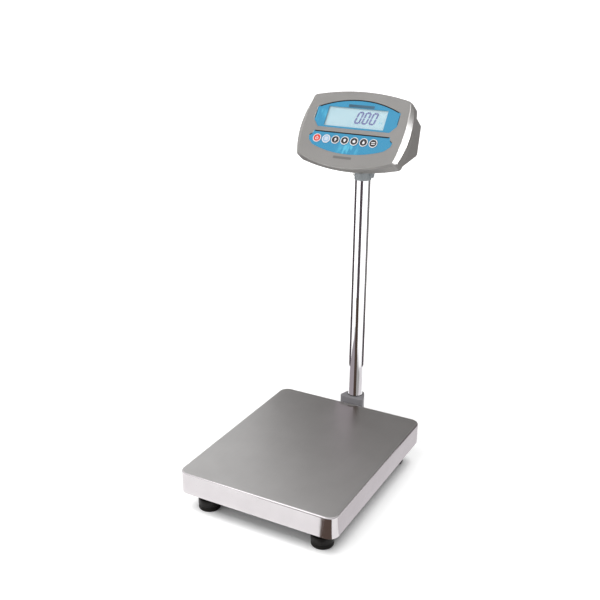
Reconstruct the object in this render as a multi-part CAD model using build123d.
from build123d import *
import math
import os

# A bench scale: a stainless platter on a load-cell base, a chromed column behind it,
# and a tilting, swivelling indicator on top of the column.
# Millimetres. +Z is up, the indicator faces -Y, and +X is to the operator's right.
# The pieces are drawn round the platter's middle and written round the middle of the whole
# outline: the origin is on the floor, CENTRE_Y behind the platter's middle.

# The whole outline's middle, front to back, measured from the platter's middle
CENTRE_Y = 40.8

# Platter
PLATTER_X = 400.0
PLATTER_Y = 500.0
PLATTER_TOP = 106.0
SKIRT_DEPTH = 53.0
SHEET = 1.2
PLATTER_CORNER = 24.0
PLATTER_BEND = 4.0

# Base frame of rectangular tube
FOOT_X = 148.0
FOOT_Y = 200.0
FRAME_BOTTOM = 46.0
FRAME_HALF_Y = 232.0
TUBE_WIDTH = 30.0
TUBE_HEIGHT = 25.0
TUBE_WALL = 2.0
FRAME_TOP = FRAME_BOTTOM + TUBE_HEIGHT
CHANNEL_WIDTH = 70.0
CHANNEL_HEIGHT = 8.0
CHANNEL_WALL = 4.0

# Feet
PUCK_RADIUS = 26.5
PUCK_HEIGHT = 30.0
STUD_RADIUS = 5.0
STUD_TOP = 64.0
LOCK_NUT_HEIGHT = 8.0
LOCK_NUT_FLATS = 17.0
FOOT_GAP = 0.3
BOSS_RADIUS = 10.0

# Load cell and upper frame
CELL_X = 40.0
CELL_Y = 150.0
CELL_Z = 26.0
SPACER = 2.0
CELL_BOTTOM = FRAME_BOTTOM + CHANNEL_HEIGHT + SPACER
CELL_BOLT_Y = (45.0, 65.0)
SPINE_Y = 330.0
BAR_THICK = 8.0
SPINE_BOTTOM = CELL_BOTTOM + CELL_Z + SPACER
ARM_BOTTOM = SPINE_BOTTOM + BAR_THICK
ARM_TOP = ARM_BOTTOM + BAR_THICK
ARM_X = 350.0
ARM_WIDTH = 30.0
ARM_Y = 150.0
PAD_X = 160.0
PAD_RADIUS = 12.5
PAD_GAP = 0.3
STOP_GAP = 1.5

# Screws: shank radius, width across the flats of the head or nut, head height, nut height
M8_RADIUS = 4.0
M8_FLATS = 13.0
M8_HEAD = 5.3
M8_NUT = 6.5
SCREW_FIT = 0.05
RUNNING_FIT = 0.08

# Column and its bracket
COLUMN_Y = 282.0
COLUMN_RADIUS = 19.0
COLUMN_WALL = 1.5
COLUMN_BOTTOM = 52.2
COLUMN_TOP = 704.0
BRACKET_HALF = 32.0
BRACKET_FRONT = 253.0
BRACKET_ROUND = 24.5
BRACKET_BACK = 308.0
BRACKET_TOP = 122.0
BRACKET_NECK_HALF = 28.0
BRACKET_CORNER = 8.0
BRACKET_FOOT = 6.0
BRACKET_FLANGE_HALF = 60.0
BRACKET_BOLT_X = (-48.0, -18.0, 18.0, 48.0)
COLLAR_RADIUS = 20.5
COLLAR_BOTTOM = 116.0
COLLAR_TOP = 123.5
CLAMP_SCREW_Z = (68.0, 98.0)

# Top fitting, tilt bolt and knob
PIVOT_Z = 718.0
FITTING_RADIUS = 20.75
SPIGOT_BOTTOM = 646.0
EAR_FLAT = 20.0
SLOT_HALF = 7.7
SLOT_FLOOR = 708.0
SLOT_FRONT = 15.5
FRONT_WALL_TOP = 722.0
TONGUE_HALF = 6.6
TONGUE_RADIUS = 9.0
WASHER = 0.8
KNOB_RADIUS = 8.0
KNOB_END = 27.5
SWIVEL_SCREW_Z = 686.0
SWIVEL_SCREW_RADIUS = 2.4

# Indicator: the face leans back from the vertical; its own frame has x across, y up the face
# and z out of the face, from the middle of the display
LEAN = 36.0
FACE_Y = 229.7
FACE_Z = 859.3
FACE_TOP = 70.0
FACE_TOP_CORNER = 54.0
FACE_MIDDLE = -27.0
RIM_DEPTH = 9.0
SHELL_DEPTH = 38.0
SHELL_WALL = 3.0
FACE_WALL = 5.0
FACE_CORNER = 10.0
FACE_EDGE = 2.0
POCKET_EDGE = 0.8
BACK_EDGE = 1.0
FLANGE_BACK = 42.0
GASKET = 0.8
REAR_HALF = 127.0
REAR_WALL = 2.5
REAR_TOP = (42.0, -92.0)
REAR_LOW = (-23.0, -119.0)
REAR_HEEL = (-31.0, -113.0)
REAR_TOE = (-95.7, -42.0)
REAR_ROUND = 5.0
SHELL_SCREWS = ((-100.0, 50.5), (0.0, 56.0), (100.0, 50.5), (-85.0, -103.0), (0.0, -111.0), (85.0, -103.0))

# The outlines of the face, of the widest rim behind it and of the back edge:
# half width at the top, in the middle and at the low corner, that corner's y, and the lowest y
FACE_SIZES = (123.5, 129.0, 119.5, -103.0, -130.0)
RIM_SIZES = (126.0, 141.0, 127.0, -102.5, -128.0)
BACK_SIZES = (127.5, 136.5, 128.5, -101.0, -120.0)

# Display
DISPLAY_POCKET = 2.5
KEYPAD_POCKET = 1.5
OVERLAY = 1.0
OVERLAY_GAP = 0.2
LCD_X = 152.0
LCD_Y = 50.5
LCD_AT = (-1.5, 1.5)
LCD_BORDER = 2.0

# Keys
KEY_COUNT = 7
KEY_FIRST = -83.5
KEY_PITCH = 24.1
KEY_LINE = -58.8
KEY_RADIUS = 10.5
KEY_HOLE_RADIUS = 10.9
KEY_FLANGE_RADIUS = 11.5
KEY_PROUD = 1.0
KEY_TIP = -12.0
KEY_SWITCH_GAP = 1.2
KEY_NAMES = ("power", "mode", "up", "light", "zero", "tare", "enter")

# Boards and battery
BOARD = 1.6
DISPLAY_BOARD_FRONT = -13.4
KEYPAD_BOARD_FRONT = -18.0
MAIN_BOARD_FRONT = -30.0
DISPLAY_POSTS = ((-85.5, 36.0), (85.5, 36.0), (-85.5, -30.0), (85.5, -30.0))
KEYPAD_POSTS = ((-99.0, KEY_LINE), (80.0, KEY_LINE))
MAIN_POSTS = ((-103.0, 31.0), (103.0, 31.0), (-80.0, -84.0), (80.0, -84.0))
POST_RADIUS = 3.0
BATTERY = (101.0, 70.0, 47.0)
BATTERY_AT = (0.0, 3.0, -66.5)
STRAP = 1.5
STRAP_WIDTH = 20.0
STRAP_SCREW_X = BATTERY[0] / 2 + STRAP + 6.5

# Sockets on the rear wall: distance across, and down from the wall's middle
DC_AT = 98.0
GLAND_AT = 72.0
SERIAL_AT = -85.0
SOCKET_DOWN = 10.0


def face_plane():
    """The indicator's own frame."""
    lean = math.radians(LEAN)
    outward = (0, -math.cos(lean), math.sin(lean))
    return Plane(origin=(0, FACE_Y, FACE_Z), x_dir=(1, 0, 0), z_dir=outward)


def on_face(shape):
    """Moves a shape from the indicator's own frame to the object's."""
    return face_plane().location * shape


def wall_plane(start, end, along):
    """A frame on an outer wall of the rear shell, between two corners (y, z) of the face frame."""
    middle_y = start[0] + (end[0] - start[0]) * along
    middle_z = start[1] + (end[1] - start[1]) * along
    run_y = end[0] - start[0]
    run_z = end[1] - start[1]
    return Plane(origin=(0, middle_y, middle_z), x_dir=(1, 0, 0), z_dir=(0, -run_z, run_y))


def block(x0, x1, y0, y1, z0, z1):
    """A box between two corners."""
    centre = Pos((x0 + x1) / 2, (y0 + y1) / 2, (z0 + z1) / 2)
    return centre * Box(x1 - x0, y1 - y0, z1 - z0)


def peg(x, y, z0, z1, radius):
    """A cylinder along Z."""
    return Pos(x, y, (z0 + z1) / 2) * Cylinder(radius, z1 - z0)


def peg_x(x0, x1, y, z, radius):
    """A cylinder along X."""
    return Pos((x0 + x1) / 2, y, z) * Rot(0, 90, 0) * Cylinder(radius, x1 - x0)


def peg_y(x, y0, y1, z, radius):
    """A cylinder along Y."""
    return Pos(x, (y0 + y1) / 2, z) * Rot(90, 0, 0) * Cylinder(radius, y1 - y0)


def hexagon(x, y, z0, z1, flats):
    """A hexagonal prism along Z, measured across its flats."""
    sketch = RegularPolygon(radius=flats / 2, side_count=6, major_radius=False)
    return Pos(x, y, z0) * extrude(sketch, amount=z1 - z0)


def nut(x, y, z0, z1, flats, radius):
    """A hexagon nut with a plain bore."""
    return hexagon(x, y, z0, z1, flats) - peg(x, y, z0 - 1, z1 + 1, radius)


def pan_screw(x, y, seat, tip, radius):
    """A pan-head screw along Z: the head is beyond the seat, on the side away from the tip."""
    side = 1.0 if seat > tip else -1.0
    head = radius * 1.2 * side
    shank = peg(x, y, min(seat, tip), max(seat, tip), radius)
    cap = peg(x, y, min(seat, seat + head), max(seat, seat + head), radius * 1.9)
    slot = Pos(x, y, seat + head) * Box(radius * 3, radius * 0.5, radius)
    return shank + cap - slot


def corners(x, y):
    """The four points (+-x, +-y)."""
    return [(side_x * x, side_y * y) for side_x in (-1, 1) for side_y in (-1, 1)]


def save(name, *shapes):
    """Writes one node round the origin; several shapes stay separate solids in it."""
    solids = []
    for shape in shapes:
        centred = Pos(0, -CENTRE_Y, 0) * shape
        solids.extend(centred.solids())
    whole = solids[0] if len(solids) == 1 else Compound(children=solids)
    export_step(whole, f"parts/{name}.step")


# ---------------------------------------------------------------- platter

def platter():
    """A drawn pan: flat top, rounded bend, and a skirt round all four sides."""
    bottom = PLATTER_TOP - SKIRT_DEPTH
    outer_sketch = RectangleRounded(PLATTER_X, PLATTER_Y, PLATTER_CORNER)
    outer = Pos(0, 0, bottom) * extrude(outer_sketch, amount=SKIRT_DEPTH)
    outer = fillet(outer.faces().sort_by(Axis.Z)[-1].edges(), PLATTER_BEND)
    inner_sketch = RectangleRounded(
        PLATTER_X - 2 * SHEET, PLATTER_Y - 2 * SHEET, PLATTER_CORNER - SHEET
    )
    inner = Pos(0, 0, bottom - 1) * extrude(inner_sketch, amount=SKIRT_DEPTH + 1 - SHEET)
    inner = fillet(inner.faces().sort_by(Axis.Z)[-1].edges(), PLATTER_BEND - SHEET)
    return outer - inner


def platter_pads():
    """Rubber buffers between the upper frame's arms and the platter."""
    top = PLATTER_TOP - SHEET - PAD_GAP
    return [peg(x, y, ARM_TOP, top, PAD_RADIUS) for x, y in corners(PAD_X, ARM_Y)]


# ---------------------------------------------------------------- base frame

def frame_tube(length):
    """A rectangular tube along X, open at both ends, round the origin."""
    outer = Box(length, TUBE_WIDTH, TUBE_HEIGHT)
    inner = Box(length + 2, TUBE_WIDTH - 2 * TUBE_WALL, TUBE_HEIGHT - 2 * TUBE_WALL)
    return outer - inner


def base_side_tube(side):
    """A side tube with a welded, tapped boss for each foot and a hole for each overload stop."""
    middle = (FRAME_BOTTOM + FRAME_TOP) / 2
    x = side * FOOT_X
    tube = Pos(x, 0, middle) * Rot(0, 0, 90) * frame_tube(2 * FRAME_HALF_Y)
    boss_bottom = PUCK_HEIGHT + FOOT_GAP + LOCK_NUT_HEIGHT
    for y in (-FOOT_Y, FOOT_Y):
        tube += peg(x, y, boss_bottom, FRAME_BOTTOM, BOSS_RADIUS)
        tube -= peg(x, y, boss_bottom - 1, FRAME_BOTTOM + 2 * TUBE_WALL, STUD_RADIUS + RUNNING_FIT)
    for y in (-ARM_Y, ARM_Y):
        tube -= peg(x, y, FRAME_TOP - 2 * TUBE_WALL, FRAME_TOP + 1, M8_RADIUS + SCREW_FIT)
    return tube


def base_cross_tube(end):
    """A cross tube between the side tubes; the rear one is drilled for the column bracket's bolts."""
    middle = (FRAME_BOTTOM + FRAME_TOP) / 2
    y = end * (FRAME_HALF_Y - TUBE_WIDTH / 2)
    tube = Pos(0, y, middle) * frame_tube(2 * FOOT_X - TUBE_WIDTH)
    if end > 0:
        for x in BRACKET_BOLT_X:
            tube -= peg(x, y, FRAME_BOTTOM - 1, FRAME_TOP + 1, M8_RADIUS + SCREW_FIT)
    return tube


def base_center_channel():
    """A shallow channel from cross tube to cross tube, which carries the load cell's fixed end."""
    half = FRAME_HALF_Y - TUBE_WIDTH
    top = FRAME_BOTTOM + CHANNEL_HEIGHT
    outer = block(-CHANNEL_WIDTH / 2, CHANNEL_WIDTH / 2, -half, half, FRAME_BOTTOM, top)
    inner_half = CHANNEL_WIDTH / 2 - CHANNEL_WALL
    channel = outer - block(-inner_half, inner_half, -half - 1, half + 1, FRAME_BOTTOM - 1, top - CHANNEL_WALL)
    for y in CELL_BOLT_Y:
        channel -= peg(0, -y, FRAME_BOTTOM, top + 1, M8_RADIUS + SCREW_FIT)
    return channel


def tube_end_caps():
    """Plastic caps in the four open ends of the side tubes."""
    caps = []
    middle = (FRAME_BOTTOM + FRAME_TOP) / 2
    plug_x = TUBE_WIDTH / 2 - TUBE_WALL - 0.1
    plug_z = TUBE_HEIGHT / 2 - TUBE_WALL - 0.1
    for x, y in corners(FOOT_X, FRAME_HALF_Y):
        out = math.copysign(1, y)
        lid = sorted((y, y + out * 2.5))
        plug = sorted((y, y - out * 8))
        cap = block(x - 15, x + 15, lid[0], lid[1], FRAME_BOTTOM, FRAME_TOP)
        cap += block(x - plug_x, x + plug_x, plug[0], plug[1], middle - plug_z, middle + plug_z)
        caps.append(cap)
    return caps


def overload_stops():
    """Adjusting screws that catch the upper frame before the cell bends too far, with lock nuts."""
    pieces = []
    for x, y in corners(FOOT_X, ARM_Y):
        pieces.append(peg(x, y, FRAME_TOP - 8, ARM_BOTTOM - STOP_GAP, M8_RADIUS))
        pieces.append(nut(x, y, FRAME_TOP, FRAME_TOP + M8_NUT, M8_FLATS, M8_RADIUS + SCREW_FIT))
    return pieces


def foot(x, y):
    """A rubber puck moulded on a threaded stud."""
    puck = peg(x, y, 0, PUCK_HEIGHT, PUCK_RADIUS)
    puck = fillet(puck.edges().filter_by(GeomType.CIRCLE), 2.0)
    socket = peg(x, y, PUCK_HEIGHT - 14, PUCK_HEIGHT + 1, STUD_RADIUS)
    stud = peg(x, y, PUCK_HEIGHT - 14, STUD_TOP, STUD_RADIUS)
    stud = chamfer(stud.edges().sort_by(Axis.Z)[-1], 0.8)
    return [puck - socket, stud]


def foot_lock_nuts():
    """A lock nut on each foot's stud, tight against the frame's boss."""
    bottom = PUCK_HEIGHT + FOOT_GAP
    top = bottom + LOCK_NUT_HEIGHT
    bore = STUD_RADIUS + RUNNING_FIT
    return [nut(x, y, bottom, top, LOCK_NUT_FLATS, bore) for x, y in corners(FOOT_X, FOOT_Y)]


def level_vial():
    """A bubble level in a metal cup on the rear cross tube."""
    x = 95.0
    y = FRAME_HALF_Y - TUBE_WIDTH / 2
    cup = peg(x, y, FRAME_TOP, FRAME_TOP + 10, 12) - peg(x, y, FRAME_TOP + 2, FRAME_TOP + 11, 9.5)
    vial = peg(x, y, FRAME_TOP + 2, FRAME_TOP + 9.5, 9.45)
    return [cup, vial]


# ---------------------------------------------------------------- load cell and upper frame

def load_cell():
    """A single-point aluminium cell with a pair of joined holes that make its thin bending walls."""
    middle = CELL_BOTTOM + CELL_Z / 2
    cell = Pos(0, 0, middle) * Box(CELL_X, CELL_Y, CELL_Z)
    cell = fillet(cell.edges().filter_by(Axis.Z), 2.0)
    for y in (-14.0, 14.0):
        cell -= peg_x(-CELL_X, CELL_X, y, middle, 8.5)
    cell -= Pos(0, 0, middle) * Box(CELL_X + 2, 28, 4)
    for y in CELL_BOLT_Y:
        cell -= peg(0, -y, CELL_BOTTOM - 1, CELL_BOTTOM + 17, M8_RADIUS + SCREW_FIT)
        cell -= peg(0, y, CELL_BOTTOM + CELL_Z - 17, CELL_BOTTOM + CELL_Z + 1, M8_RADIUS + SCREW_FIT)
    return cell


def load_cell_spacers():
    """Plates that hold the cell's free length clear of the channel below and the spine above."""
    pieces = []
    for side, z in ((-1, CELL_BOTTOM - SPACER), (1, CELL_BOTTOM + CELL_Z)):
        plate = Pos(0, side * 56, z + SPACER / 2) * Box(CELL_X, 38, SPACER)
        for y in CELL_BOLT_Y:
            plate -= peg(0, side * y, z - 1, z + SPACER + 1, M8_RADIUS + SCREW_FIT)
        pieces.append(plate)
    return pieces


def load_cell_bolts():
    """Two bolts up through the channel and two down through the spine."""
    pieces = []
    seat = FRAME_BOTTOM + CHANNEL_HEIGHT - CHANNEL_WALL
    for y in CELL_BOLT_Y:
        low = peg(0, -y, seat, CELL_BOTTOM + 16, M8_RADIUS)
        low += hexagon(0, -y, seat - M8_HEAD, seat, M8_FLATS)
        high = peg(0, y, CELL_BOTTOM + CELL_Z - 16, ARM_BOTTOM, M8_RADIUS)
        high += hexagon(0, y, ARM_BOTTOM, ARM_BOTTOM + M8_HEAD, M8_FLATS)
        pieces.extend([low, high])
    return pieces


def upper_spine():
    """The upper frame's plate, bolted to the load cell's live end."""
    spine = block(-CHANNEL_WIDTH / 2, CHANNEL_WIDTH / 2, -SPINE_Y / 2, SPINE_Y / 2, SPINE_BOTTOM, ARM_BOTTOM)
    for y in CELL_BOLT_Y:
        spine -= peg(0, y, SPINE_BOTTOM - 1, ARM_BOTTOM + 1, M8_RADIUS + SCREW_FIT)
    return spine


def upper_arm(end):
    """A cross bar on the spine that carries two platter pads."""
    arm = Pos(0, end * ARM_Y, (ARM_BOTTOM + ARM_TOP) / 2) * Box(ARM_X, ARM_WIDTH, BAR_THICK)
    return fillet(arm.edges().filter_by(Axis.Z), 5.0)


# ---------------------------------------------------------------- column

def bracket_outline():
    """A straight front with rounded corners, and sides that close on a round back."""
    edges = (Pos(0, COLUMN_Y) * Circle(BRACKET_ROUND)).edges()
    for side in (-1, 1):
        x = side * (BRACKET_HALF - BRACKET_CORNER)
        edges += (Pos(x, BRACKET_FRONT + BRACKET_CORNER) * Circle(BRACKET_CORNER)).edges()
    return make_hull(edges)


def column_bracket():
    """A casting: a socket for the column, and a foot bolted under the rear cross tube."""
    foot_bottom = FRAME_BOTTOM - BRACKET_FOOT
    socket = Pos(0, 0, foot_bottom) * extrude(bracket_outline(), amount=BRACKET_TOP - foot_bottom)
    socket = fillet(socket.faces().sort_by(Axis.Z)[-1].edges(), 2.0)
    flange_front = FRAME_HALF_Y - TUBE_WIDTH - 2
    flange_back = FRAME_HALF_Y + 2
    half = BRACKET_FLANGE_HALF
    flange = block(-half, half, flange_front, flange_back, foot_bottom, FRAME_BOTTOM)
    flange = fillet(flange.edges().filter_by(Axis.Z), 6.0)
    neck_back = BRACKET_FRONT + BRACKET_CORNER + 1
    neck_half = BRACKET_NECK_HALF
    neck = block(-neck_half, neck_half, flange_back - 7, neck_back, foot_bottom, FRAME_BOTTOM)
    casting = socket + flange + neck
    for z in CLAMP_SCREW_Z:
        casting += peg_y(0, COLUMN_Y + COLUMN_RADIUS + 1, BRACKET_BACK, z, 7.0)
    casting -= peg(0, COLUMN_Y, COLUMN_BOTTOM - 0.2, BRACKET_TOP + 1, COLUMN_RADIUS + 0.1)
    casting -= peg(0, COLUMN_Y, COLLAR_BOTTOM, BRACKET_TOP + 1, COLLAR_RADIUS + 0.1)
    for x in BRACKET_BOLT_X:
        hole_y = FRAME_HALF_Y - TUBE_WIDTH / 2
        casting -= peg(x, hole_y, foot_bottom - 1, FRAME_BOTTOM + 1, M8_RADIUS + SCREW_FIT)
    for z in CLAMP_SCREW_Z:
        casting -= peg_y(0, COLUMN_Y, BRACKET_BACK + 1, z, 3.0 + SCREW_FIT)
    return casting


def column_bracket_bolts():
    """Bolts up through the bracket's foot and the cross tube, with nuts on top of the tube."""
    pieces = []
    seat = FRAME_BOTTOM - BRACKET_FOOT
    y = FRAME_HALF_Y - TUBE_WIDTH / 2
    for x in BRACKET_BOLT_X:
        bolt = peg(x, y, seat, FRAME_TOP + M8_NUT + 1.5, M8_RADIUS)
        bolt += hexagon(x, y, seat - M8_HEAD, seat, M8_FLATS)
        pieces.append(bolt)
        pieces.append(nut(x, y, FRAME_TOP, FRAME_TOP + M8_NUT, M8_FLATS, M8_RADIUS + SCREW_FIT))
    return pieces


def column_clamp_screws():
    """Socket-head screws in the back of the bracket that press on the column."""
    pieces = []
    tip = COLUMN_Y + COLUMN_RADIUS + 0.15
    for z in CLAMP_SCREW_Z:
        screw = peg_y(0, tip, BRACKET_BACK, z, 3.0) + peg_y(0, BRACKET_BACK, BRACKET_BACK + 5, z, 5.0)
        socket = RegularPolygon(radius=2.5, side_count=6, major_radius=False)
        key_hole = Pos(0, BRACKET_BACK + 5, z) * Rot(90, 0, 0) * extrude(socket, amount=3)
        pieces.append(screw - key_hole)
    return pieces


def column_collar():
    """A rubber ring that closes the gap between the column and the bracket's mouth."""
    ring = peg(0, COLUMN_Y, COLLAR_BOTTOM, COLLAR_TOP, COLLAR_RADIUS)
    return ring - peg(0, COLUMN_Y, COLLAR_BOTTOM - 1, COLLAR_TOP + 1, COLUMN_RADIUS + 0.1)


def column_tube():
    """The chromed tube, drilled near its top for the swivel screw."""
    tube = peg(0, COLUMN_Y, COLUMN_BOTTOM, COLUMN_TOP, COLUMN_RADIUS)
    tube -= peg(0, COLUMN_Y, COLUMN_BOTTOM - 1, COLUMN_TOP + 1, COLUMN_RADIUS - COLUMN_WALL)
    hole = peg_y(0, COLUMN_Y, COLUMN_Y + 30, SWIVEL_SCREW_Z, SWIVEL_SCREW_RADIUS + SCREW_FIT)
    return tube - hole


def swivel_screw():
    """A screw through the column's wall: its tip runs in the top fitting's groove."""
    surface = COLUMN_Y + COLUMN_RADIUS
    shank = peg_y(0, surface - 4, surface + 1, SWIVEL_SCREW_Z, SWIVEL_SCREW_RADIUS)
    head = peg_y(0, surface + 0.2, surface + 2.8, SWIVEL_SCREW_Z, 4.5)
    slot = Pos(0, surface + 2.8, SWIVEL_SCREW_Z) * Box(10, 1.6, 1.2)
    return shank + head - slot


# ---------------------------------------------------------------- top fitting

def top_fitting():
    """A spigot that turns in the column, and a domed, slotted head for the tilt bolt."""
    seat = COLUMN_TOP + 0.2
    dome_top = PIVOT_Z + FITTING_RADIUS
    head = peg(0, COLUMN_Y, seat, dome_top, FITTING_RADIUS)
    dome = peg_x(-30, 30, COLUMN_Y, PIVOT_Z, FITTING_RADIUS)
    lower = block(-30, 30, COLUMN_Y - 30, COLUMN_Y + 30, seat, PIVOT_Z)
    head = head & (dome + lower)
    front = COLUMN_Y - SLOT_FRONT
    head -= block(-SLOT_HALF, SLOT_HALF, front, COLUMN_Y + 30, SLOT_FLOOR, dome_top + 1)
    head -= block(-SLOT_HALF, SLOT_HALF, COLUMN_Y - 30, front, FRONT_WALL_TOP, dome_top + 1)
    for side in (-1, 1):
        flat = sorted((side * EAR_FLAT, side * 30))
        head -= peg_x(flat[0], flat[1], COLUMN_Y, PIVOT_Z, KNOB_RADIUS + 1)
    head -= peg_x(-30, 30, COLUMN_Y, PIVOT_Z, M8_RADIUS + SCREW_FIT)
    spigot_radius = COLUMN_RADIUS - COLUMN_WALL - RUNNING_FIT
    spigot = peg(0, COLUMN_Y, SPIGOT_BOTTOM, seat + 1, spigot_radius)
    groove = peg(0, COLUMN_Y, SWIVEL_SCREW_Z - 3.2, SWIVEL_SCREW_Z + 3.2, spigot_radius + 1)
    groove -= peg(0, COLUMN_Y, SWIVEL_SCREW_Z - 4, SWIVEL_SCREW_Z + 4, 14.5)
    return head + (spigot - groove)


def tilt_bolt():
    """The bolt on which the indicator tilts: its head is on the left."""
    shank = peg_x(-EAR_FLAT, KNOB_END - 1.5, COLUMN_Y, PIVOT_Z, M8_RADIUS)
    cap = Pos(-EAR_FLAT, COLUMN_Y, PIVOT_Z) * Rot(0, -90, 0) * hexagon(0, 0, 0, M8_HEAD, M8_FLATS)
    return shank + cap


def tilt_knob():
    """A lobed knob on the bolt's right-hand end that clamps the tilt."""
    knob = peg_x(EAR_FLAT + 0.1, KNOB_END, COLUMN_Y, PIVOT_Z, KNOB_RADIUS)
    knob = fillet(knob.edges().filter_by(GeomType.CIRCLE).sort_by(Axis.X)[-1], 1.2)
    lobes = 8
    for lobe in range(lobes):
        turn = 2 * math.pi * lobe / lobes
        y = COLUMN_Y + (KNOB_RADIUS + 1.4) * math.cos(turn)
        z = PIVOT_Z + (KNOB_RADIUS + 1.4) * math.sin(turn)
        knob -= peg_x(EAR_FLAT, KNOB_END + 1, y, z, 2.2)
    return knob - peg_x(EAR_FLAT, KNOB_END - 1.4, COLUMN_Y, PIVOT_Z, M8_RADIUS + SCREW_FIT)


def tilt_washers():
    """Friction washers between the fitting's ears and the tilt bracket's tongue."""
    pieces = []
    for side in (-1, 1):
        span = sorted((side * SLOT_HALF, side * (SLOT_HALF - WASHER)))
        ring = peg_x(span[0], span[1], COLUMN_Y, PIVOT_Z, TONGUE_RADIUS)
        pieces.append(ring - peg_x(span[0] - 1, span[1] + 1, COLUMN_Y, PIVOT_Z, M8_RADIUS + SCREW_FIT))
    return pieces


# ---------------------------------------------------------------- indicator shells

def outline(sizes, inset=0.0):
    """An outline of the indicator: shallow arcs above and below, bowed sides, rounded corners."""
    top, middle, low = (half - inset for half in sizes[:3])
    corner_top = FACE_TOP_CORNER - inset
    corner_low = sizes[3] + inset
    edges = [
        ThreePointArc((-top, corner_top), (0, FACE_TOP - inset), (top, corner_top)),
        ThreePointArc((top, corner_top), (middle, FACE_MIDDLE), (low, corner_low)),
        ThreePointArc((low, corner_low), (0, sizes[4] + inset), (-low, corner_low)),
        ThreePointArc((-low, corner_low), (-middle, FACE_MIDDLE), (-top, corner_top)),
    ]
    face = make_face(edges)
    return fillet(face.vertices(), FACE_CORNER - inset)


def shell_body(inset, front):
    """The front shell's outer form, or its cavity when inset: face, widest rim, then the back edge."""
    sections = [
        Pos(0, 0, front) * outline(FACE_SIZES, inset),
        Pos(0, 0, -RIM_DEPTH - inset / 2) * outline(RIM_SIZES, inset),
        Pos(0, 0, -SHELL_DEPTH) * outline(BACK_SIZES, inset),
    ]
    return loft(sections, ruled=True)


def display_outline(inset=0.0):
    """The upper window: an arched top, upright sides and clipped lower corners."""
    half = 106.5 - inset
    edges = [
        ThreePointArc((-half, 23 - inset), (0, 48 - inset), (half, 23 - inset)),
        Line((half, 23 - inset), (half, -11)),
        Line((half, -11), (92 - inset * 0.6, -28.5 + inset)),
        Line((92 - inset * 0.6, -28.5 + inset), (-92 + inset * 0.6, -28.5 + inset)),
        Line((-92 + inset * 0.6, -28.5 + inset), (-half, -11)),
        Line((-half, -11), (-half, 23 - inset)),
    ]
    face = make_face(edges)
    return fillet(face.vertices(), 6.0)


def keypad_outline(inset=0.0):
    """The lower window: straight above with stepped shoulders, and a bowed underside."""
    right = [
        (97.5 - inset, -39 - inset),
        (98.5 - inset, -46 - inset * 0.4),
        (107 - inset, -53),
        (104 - inset, -64),
        (92 - inset * 0.7, -75.5 + inset * 0.7),
    ]
    left = [(-x, y) for x, y in reversed(right)]
    edges = [
        Polyline(*right),
        ThreePointArc(right[-1], (0, -93 + inset), left[0]),
        Polyline(*left),
        Line(left[-1], right[0]),
    ]
    return fillet(make_face(edges).vertices(), 2.5)


def lcd_rectangle(border):
    """A rectangle round the visible display area."""
    return Pos(LCD_AT[0], LCD_AT[1]) * Rectangle(LCD_X + 2 * border, LCD_Y + 2 * border)


def key_centres():
    """The keys' centres on the face."""
    return [(KEY_FIRST + KEY_PITCH * index, KEY_LINE) for index in range(KEY_COUNT)]


def front_shell():
    """The front moulding: hollow, with two shallow window pockets, key holes, posts and bosses."""
    shell = shell_body(0.0, 0.0)
    shell = fillet(shell.faces().sort_by(Axis.Z)[-1].edges(), FACE_EDGE)
    shell -= shell_body(SHELL_WALL, -FACE_WALL)
    shell -= Pos(0, 0, -DISPLAY_POCKET) * extrude(display_outline(), amount=DISPLAY_POCKET + 1)
    shell -= Pos(0, 0, -KEYPAD_POCKET) * extrude(keypad_outline(), amount=KEYPAD_POCKET + 1)
    face = shell.faces().sort_by(Axis.Z)[-1]
    pocket_edges = [edge for wire in face.inner_wires() for edge in wire.edges()]
    shell = fillet(pocket_edges, POCKET_EDGE)
    back_edges = [edge for edge in shell.edges() if abs(edge.center().Z + SHELL_DEPTH) < 0.05]
    shell = fillet(back_edges, BACK_EDGE)
    shell -= Pos(0, 0, -FACE_WALL - 1) * extrude(lcd_rectangle(LCD_BORDER), amount=FACE_WALL + 1)
    for u, v in key_centres():
        shell -= peg(u, v, -FACE_WALL - 1, 1, KEY_HOLE_RADIUS)
    posts = [
        (DISPLAY_POSTS, DISPLAY_BOARD_FRONT),
        (KEYPAD_POSTS, KEYPAD_BOARD_FRONT),
        (MAIN_POSTS, MAIN_BOARD_FRONT),
    ]
    for places, end in posts:
        for u, v in places:
            post = peg(u, v, end, -FACE_WALL + 0.5, POST_RADIUS)
            shell += post - peg(u, v, end - 1, end + 6, 1.25 + SCREW_FIT)
    for u, v in SHELL_SCREWS:
        boss = peg(u, v, -SHELL_DEPTH + 1, -FACE_WALL + 0.5, 4.0)
        shell += boss - peg(u, v, -SHELL_DEPTH, -SHELL_DEPTH + 14, 2.0 + SCREW_FIT)
    return shell


def rear_profile():
    """The rear shell's side profile, as a closed line of (y, z) points in the face frame."""
    front = -SHELL_DEPTH - GASKET - 1
    slope = (REAR_TOE[0] - REAR_HEEL[0]) / (REAR_TOE[1] - REAR_HEEL[1])
    toe = REAR_TOE[0] + slope * (front - REAR_TOE[1])
    return [(REAR_TOP[0], front), REAR_TOP, REAR_LOW, REAR_HEEL, (toe, front)]


def profile_prism(half, inset):
    """The rear shell's side profile drawn out across the indicator."""
    face = make_face(Polyline(*rear_profile(), close=True))
    if inset > 0:
        face = offset(face, -inset, kind=Kind.INTERSECTION)
    upright = Plane(origin=(-half, 0, 0), x_dir=(0, 1, 0), z_dir=(1, 0, 0))
    return upright.location * extrude(face, amount=2 * half)


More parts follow.
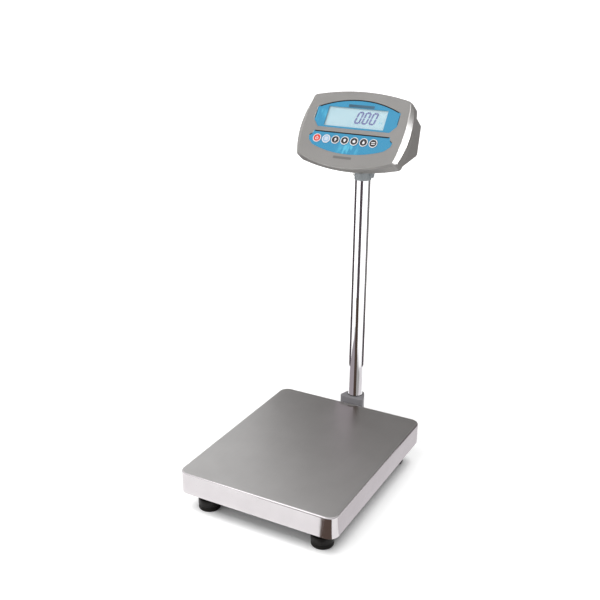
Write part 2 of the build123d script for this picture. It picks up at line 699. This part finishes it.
def rear_shell():
    """The rear moulding: a flange behind the gasket and a wedge-shaped box for battery and sockets."""
    front = -SHELL_DEPTH - GASKET
    box = profile_prism(REAR_HALF, 0.0)
    rounded = [edge for edge in box.edges() if edge.center().Z < front - 5]
    box = fillet(rounded, REAR_ROUND)
    flange = Pos(0, 0, -FLANGE_BACK) * extrude(outline(BACK_SIZES, 1.0), amount=FLANGE_BACK + front)
    shell = (box + flange) & block(-200, 200, -200, 200, -200, front)
    cavity = profile_prism(REAR_HALF - REAR_WALL, REAR_WALL)
    mouth = block(-REAR_HALF + REAR_WALL, REAR_HALF - REAR_WALL, -92, 39.5, front - 4, front + 1)
    shell -= cavity
    shell -= mouth
    for u, v in SHELL_SCREWS:
        shell -= peg(u, v, -FLANGE_BACK - 1, front + 1, 2.0 + SCREW_FIT)
    shell -= strap_screw_holes()
    under = under_plane().location
    back = back_plane().location
    for x, y in corners(22.0, 15.0):
        boss = peg(x, y, -8, -1, 4.5)
        shell += under * boss
        shell -= under * peg(x, y, -9, 1, 2.0 + SCREW_FIT)
    shell -= back * (Pos(DC_AT, SOCKET_DOWN, -2) * Box(14.2, 11.2, 12))
    shell -= back * (Pos(SERIAL_AT, SOCKET_DOWN, -2) * Box(19.2, 10.2, 12))
    shell -= back * peg(GLAND_AT, SOCKET_DOWN, -8, 4, 6.0 + SCREW_FIT)
    return shell


def back_plane():
    """A frame on the rear shell's back wall, z outwards and y down."""
    return wall_plane(REAR_TOP, REAR_LOW, 0.5)


def under_plane():
    """A frame on the rear shell's underside, z outwards, opposite the tilt pivot."""
    return wall_plane(REAR_HEEL, REAR_TOE, under_share())


def pivot_in_face():
    """The tilt pivot as (y, z) in the face frame."""
    lean = math.radians(LEAN)
    rise_y = COLUMN_Y - FACE_Y
    rise_z = PIVOT_Z - FACE_Z
    up = rise_y * math.sin(lean) + rise_z * math.cos(lean)
    out = -rise_y * math.cos(lean) + rise_z * math.sin(lean)
    return up, out


def under_share():
    """How far along the underside, from heel to toe, the pivot's foot falls."""
    up, out = pivot_in_face()
    run_y = REAR_TOE[0] - REAR_HEEL[0]
    run_z = REAR_TOE[1] - REAR_HEEL[1]
    along = (up - REAR_HEEL[0]) * run_y + (out - REAR_HEEL[1]) * run_z
    return along / (run_y ** 2 + run_z ** 2)


def pivot_drop():
    """The distance from the rear shell's underside to the tilt pivot."""
    up, out = pivot_in_face()
    run_y = REAR_TOE[0] - REAR_HEEL[0]
    run_z = REAR_TOE[1] - REAR_HEEL[1]
    foot_y = REAR_HEEL[0] + run_y * under_share()
    foot_z = REAR_HEEL[1] + run_z * under_share()
    return math.hypot(up - foot_y, out - foot_z)


def shell_gasket():
    """A flat seal between the two shells."""
    ring = extrude(outline(BACK_SIZES, 1.0), amount=GASKET)
    ring -= Pos(0, 0, -1) * extrude(outline(BACK_SIZES, SHELL_WALL), amount=GASKET + 2)
    return Pos(0, 0, -SHELL_DEPTH - GASKET) * ring


def shell_screws():
    """Screws through the rear shell's flange into the front shell's bosses."""
    return [pan_screw(u, v, -FLANGE_BACK, -SHELL_DEPTH + 12, 2.0) for u, v in SHELL_SCREWS]


def tilt_bracket():
    """A plate under the indicator with a tongue that turns on the tilt bolt."""
    thickness = 3.0
    drop = pivot_drop()
    plate = block(-30, 30, -21, 21, 0.05, thickness)
    plate = fillet(plate.edges().filter_by(Axis.Z), 5.0)
    tongue = block(-TONGUE_HALF, TONGUE_HALF, -TONGUE_RADIUS, TONGUE_RADIUS, thickness - 1, drop)
    tongue += peg_x(-TONGUE_HALF, TONGUE_HALF, 0, drop, TONGUE_RADIUS)
    bracket = plate + tongue
    bracket -= peg_x(-30, 30, 0, drop, M8_RADIUS + RUNNING_FIT)
    for x, y in corners(22.0, 15.0):
        bracket -= peg(x, y, -1, thickness + 1, 2.0 + SCREW_FIT)
    return under_plane().location * bracket


def tilt_bracket_screws():
    """Screws up through the tilt bracket's plate into the rear shell."""
    return [under_plane().location * pan_screw(x, y, 3.0, -6.5, 2.0) for x, y in corners(22.0, 15.0)]


# ---------------------------------------------------------------- display and keypad

def display_overlay():
    """A printed film in the upper pocket, with a clear opening over the display."""
    film = extrude(display_outline(OVERLAY_GAP), amount=OVERLAY)
    film -= Pos(0, 0, -1) * extrude(lcd_rectangle(0.0), amount=OVERLAY + 2)
    return Pos(0, 0, -DISPLAY_POCKET) * film


def keypad_overlay():
    """A printed film in the lower pocket, pierced for the keys."""
    film = extrude(keypad_outline(OVERLAY_GAP), amount=OVERLAY)
    for u, v in key_centres():
        film -= peg(u, v, -1, OVERLAY + 1, KEY_HOLE_RADIUS)
    return Pos(0, 0, -KEYPAD_POCKET) * film


def lcd_window():
    """A clear pane let into the face behind the film."""
    pane = extrude(lcd_rectangle(LCD_BORDER - OVERLAY_GAP), amount=2.0)
    return Pos(0, 0, -DISPLAY_POCKET - 2.0) * pane


def lcd_module():
    """The liquid-crystal glass."""
    return Pos(0, 0, -FACE_WALL - 3.2) * extrude(lcd_rectangle(4.0), amount=3.0)


def lcd_backlight():
    """The light guide behind the glass."""
    return Pos(0, 0, DISPLAY_BOARD_FRONT) * extrude(lcd_rectangle(4.0), amount=5.2)


def key(index):
    """A round cap with a flange behind the face and a stem over its switch."""
    u, v = key_centres()[index]
    cap = peg(u, v, -FACE_WALL - 0.3 - 1.6, KEY_PROUD, KEY_RADIUS)
    cap = fillet(cap.edges().filter_by(GeomType.CIRCLE).sort_by(Axis.Z)[-1], 0.6)
    flange = peg(u, v, -FACE_WALL - 0.3 - 1.6, -FACE_WALL - 0.3, KEY_FLANGE_RADIUS)
    stem = peg(u, v, KEY_TIP, -FACE_WALL - 1.0, 2.0)
    return cap + flange + stem


def display_board():
    """The display's circuit board on the upper posts."""
    board = block(-92, 92, -34, 40, DISPLAY_BOARD_FRONT - BOARD, DISPLAY_BOARD_FRONT)
    for u, v in DISPLAY_POSTS:
        board -= peg(u, v, DISPLAY_BOARD_FRONT - 3, DISPLAY_BOARD_FRONT + 1, 1.25 + SCREW_FIT)
    return board


def keypad_board():
    """The keypad's circuit board, with a push switch under each key."""
    front = KEYPAD_BOARD_FRONT
    board = block(-104, 86, KEY_LINE - 10, KEY_LINE + 10, front - BOARD, front)
    for u, v in KEYPAD_POSTS:
        board -= peg(u, v, front - 3, front + 1, 1.25 + SCREW_FIT)
    pieces = [board]
    for u, v in key_centres():
        switch = block(u - 3, u + 3, v - 3, v + 3, front, front + 3.5)
        pieces.append(switch + peg(u, v, front + 3, KEY_TIP - KEY_SWITCH_GAP, 1.75))
    return pieces


def main_board():
    """The main circuit board, with its larger components on the back."""
    front = MAIN_BOARD_FRONT
    back = front - BOARD
    board = block(-108, 108, -90, 36, back, front)
    for u, v in MAIN_POSTS:
        board -= peg(u, v, front - 3, front + 1, 1.25 + SCREW_FIT)
    pieces = [board]
    pieces.append(block(62, 92, -8, 22, back - 20, back))
    pieces.append(block(64, 96, -36, -18, back - 10, back))
    for u in (-96.0, -80.0, -64.0):
        pieces.append(peg(u, 20, back - 18, back, 5.0))
    pieces.append(block(-98, -66, -42, -18, back - 4, back))
    pieces.append(block(-40, 10, -66, -46, back - 3, back))
    return pieces


def inner_screws():
    """The small screws of the three boards and of the battery strap."""
    pieces = []
    for u, v in DISPLAY_POSTS:
        pieces.append(pan_screw(u, v, DISPLAY_BOARD_FRONT - BOARD, DISPLAY_BOARD_FRONT + 5, 1.25))
    for u, v in KEYPAD_POSTS:
        pieces.append(pan_screw(u, v, KEYPAD_BOARD_FRONT - BOARD, KEYPAD_BOARD_FRONT + 5, 1.25))
    for u, v in MAIN_POSTS:
        pieces.append(pan_screw(u, v, MAIN_BOARD_FRONT - BOARD, MAIN_BOARD_FRONT + 5, 1.25))
    ceiling = REAR_TOP[0] - REAR_WALL
    for u in (-STRAP_SCREW_X, STRAP_SCREW_X):
        shank = peg_y(u, ceiling - STRAP - 0.1, ceiling + 1.5, BATTERY_AT[2], 1.25)
        head = peg_y(u, ceiling - STRAP - 0.1 - 1.6, ceiling - STRAP - 0.1, BATTERY_AT[2], 2.5)
        pieces.append(shank + head)
    return pieces


# ---------------------------------------------------------------- battery and sockets

def strap_screw_holes():
    """Blind holes in the rear shell's ceiling for the battery strap's screws."""
    ceiling = REAR_TOP[0] - REAR_WALL
    left = peg_y(-STRAP_SCREW_X, ceiling - 1, ceiling + 1.7, BATTERY_AT[2], 1.25 + SCREW_FIT)
    right = peg_y(STRAP_SCREW_X, ceiling - 1, ceiling + 1.7, BATTERY_AT[2], 1.25 + SCREW_FIT)
    return left + right


def battery():
    """A sealed rechargeable battery with two terminals."""
    case = Pos(*BATTERY_AT) * Box(*BATTERY)
    case = fillet(case.edges(), 1.5)
    side = BATTERY_AT[0] + BATTERY[0] / 2
    low = BATTERY_AT[1] - BATTERY[1] / 2
    for offset_z in (-16, 16):
        z = BATTERY_AT[2] + offset_z
        case += block(side - 8, side - 2, low - 5, low + 1, z - 0.4, z + 0.4)
    return case


def battery_strap():
    """A steel band under the battery, hung from the rear shell's ceiling."""
    half = BATTERY[0] / 2 + 0.1
    low = BATTERY_AT[1] - BATTERY[1] / 2 - 0.1
    ceiling = REAR_TOP[0] - REAR_WALL - 0.1
    z0 = BATTERY_AT[2] - STRAP_WIDTH / 2
    z1 = BATTERY_AT[2] + STRAP_WIDTH / 2
    band = block(-half - STRAP, half + STRAP, low - STRAP, low, z0, z1)
    for side in (-1, 1):
        wall = sorted((side * half, side * (half + STRAP)))
        ear = sorted((side * half, side * (half + STRAP + 13)))
        band += block(wall[0], wall[1], low - STRAP, ceiling, z0, z1)
        band += block(ear[0], ear[1], ceiling - STRAP, ceiling, z0, z1)
        hole_x = side * STRAP_SCREW_X
        band -= peg_y(hole_x, ceiling - STRAP - 1, ceiling + 1, BATTERY_AT[2], 1.25 + SCREW_FIT)
    return band


def dc_inlet():
    """The low-voltage power socket in the back wall."""
    body = Pos(DC_AT, SOCKET_DOWN, -5.5) * Box(14, 11, 13)
    body += Pos(DC_AT, SOCKET_DOWN, 0.8) * Box(17, 14, 1.4)
    body -= peg(DC_AT, SOCKET_DOWN, -8, 3, 3.2)
    body += peg(DC_AT, SOCKET_DOWN, -9, -0.5, 1.0)
    return back_plane().location * body


def serial_connector():
    """A nine-way data socket in the back wall."""
    body = Pos(SERIAL_AT, SOCKET_DOWN, -4) * Box(19, 10, 9.5)
    body += Pos(SERIAL_AT, SOCKET_DOWN, 0.55) * Box(31, 12.5, 1.0)
    shroud = Pos(SERIAL_AT, SOCKET_DOWN, 3.0) * Box(17, 8.5, 5.0)
    shroud -= Pos(SERIAL_AT, SOCKET_DOWN, 4.0) * Box(15.6, 7.1, 6.0)
    return back_plane().location * (body + shroud)


def cable_gland():
    """The load-cell cable's gland: body, inner lock nut and clamping cap."""
    body = peg(GLAND_AT, SOCKET_DOWN, -8, 6, 6.0) + hexagon(GLAND_AT, SOCKET_DOWN, 0.1, 4.0, 15.0)
    cap = hexagon(GLAND_AT, SOCKET_DOWN, 4.1, 12.0, 14.0)
    cap -= peg(GLAND_AT, SOCKET_DOWN, 4, 6.05, 6.05)
    bore = peg(GLAND_AT, SOCKET_DOWN, -9, 13, 3.0)
    lock = nut(GLAND_AT, SOCKET_DOWN, -6.5, -2.7, 15.0, 6.05)
    place = back_plane().location
    return [place * (body - bore), place * (cap - bore), place * lock]


def name_plate():
    """A blank raised plate under the keypad."""
    plate = Pos(-5, -102.5, 0.2) * Box(46, 6, 0.4)
    return fillet(plate.edges().filter_by(Axis.Z), 1.5)


def main():
    """Builds every piece and writes one STEP file for each."""
    os.makedirs("parts", exist_ok=True)
    save("platter", platter())
    save("platter_pads", *platter_pads())
    save("base_tube_left", base_side_tube(-1))
    save("base_tube_right", base_side_tube(1))
    save("base_tube_front", base_cross_tube(-1))
    save("base_tube_rear", base_cross_tube(1))
    save("base_center_channel", base_center_channel())
    save("tube_end_caps", *tube_end_caps())
    save("overload_stops", *overload_stops())
    save("foot_front_left", *foot(-FOOT_X, -FOOT_Y))
    save("foot_front_right", *foot(FOOT_X, -FOOT_Y))
    save("foot_rear_left", *foot(-FOOT_X, FOOT_Y))
    save("foot_rear_right", *foot(FOOT_X, FOOT_Y))
    save("foot_lock_nuts", *foot_lock_nuts())
    save("level_vial", *level_vial())
    save("load_cell", load_cell())
    save("load_cell_spacers", *load_cell_spacers())
    save("load_cell_bolts", *load_cell_bolts())
    save("upper_spine", upper_spine())
    save("upper_arm_front", upper_arm(-1))
    save("upper_arm_rear", upper_arm(1))
    save("column_bracket", column_bracket())
    save("column_bracket_bolts", *column_bracket_bolts())
    save("column_clamp_screws", *column_clamp_screws())
    save("column_collar", column_collar())
    save("column_tube", column_tube())
    save("swivel_screw", swivel_screw())
    save("top_fitting", top_fitting())
    save("tilt_bolt", tilt_bolt())
    save("tilt_knob", tilt_knob())
    save("tilt_washers", *tilt_washers())
    save("tilt_bracket", on_face(tilt_bracket()))
    save("tilt_bracket_screws", *[on_face(screw) for screw in tilt_bracket_screws()])
    save("front_shell", on_face(front_shell()))
    save("rear_shell", on_face(rear_shell()))
    save("shell_gasket", on_face(shell_gasket()))
    save("shell_screws", *[on_face(screw) for screw in shell_screws()])
    save("display_overlay", on_face(display_overlay()))
    save("keypad_overlay", on_face(keypad_overlay()))
    save("lcd_window", on_face(lcd_window()))
    save("lcd_module", on_face(lcd_module()))
    save("lcd_backlight", on_face(lcd_backlight()))
    save("display_board", on_face(display_board()))
    save("keypad_board", *[on_face(piece) for piece in keypad_board()])
    save("main_board", *[on_face(piece) for piece in main_board()])
    save("inner_screws", *[on_face(screw) for screw in inner_screws()])
    save("battery", on_face(battery()))
    save("battery_strap", on_face(battery_strap()))
    save("dc_inlet", on_face(dc_inlet()))
    save("serial_connector", on_face(serial_connector()))
    save("cable_gland", *[on_face(piece) for piece in cable_gland()])
    save("name_plate", on_face(name_plate()))
    for index, name in enumerate(KEY_NAMES):
        save(f"key_{name}", on_face(key(index)))


main()
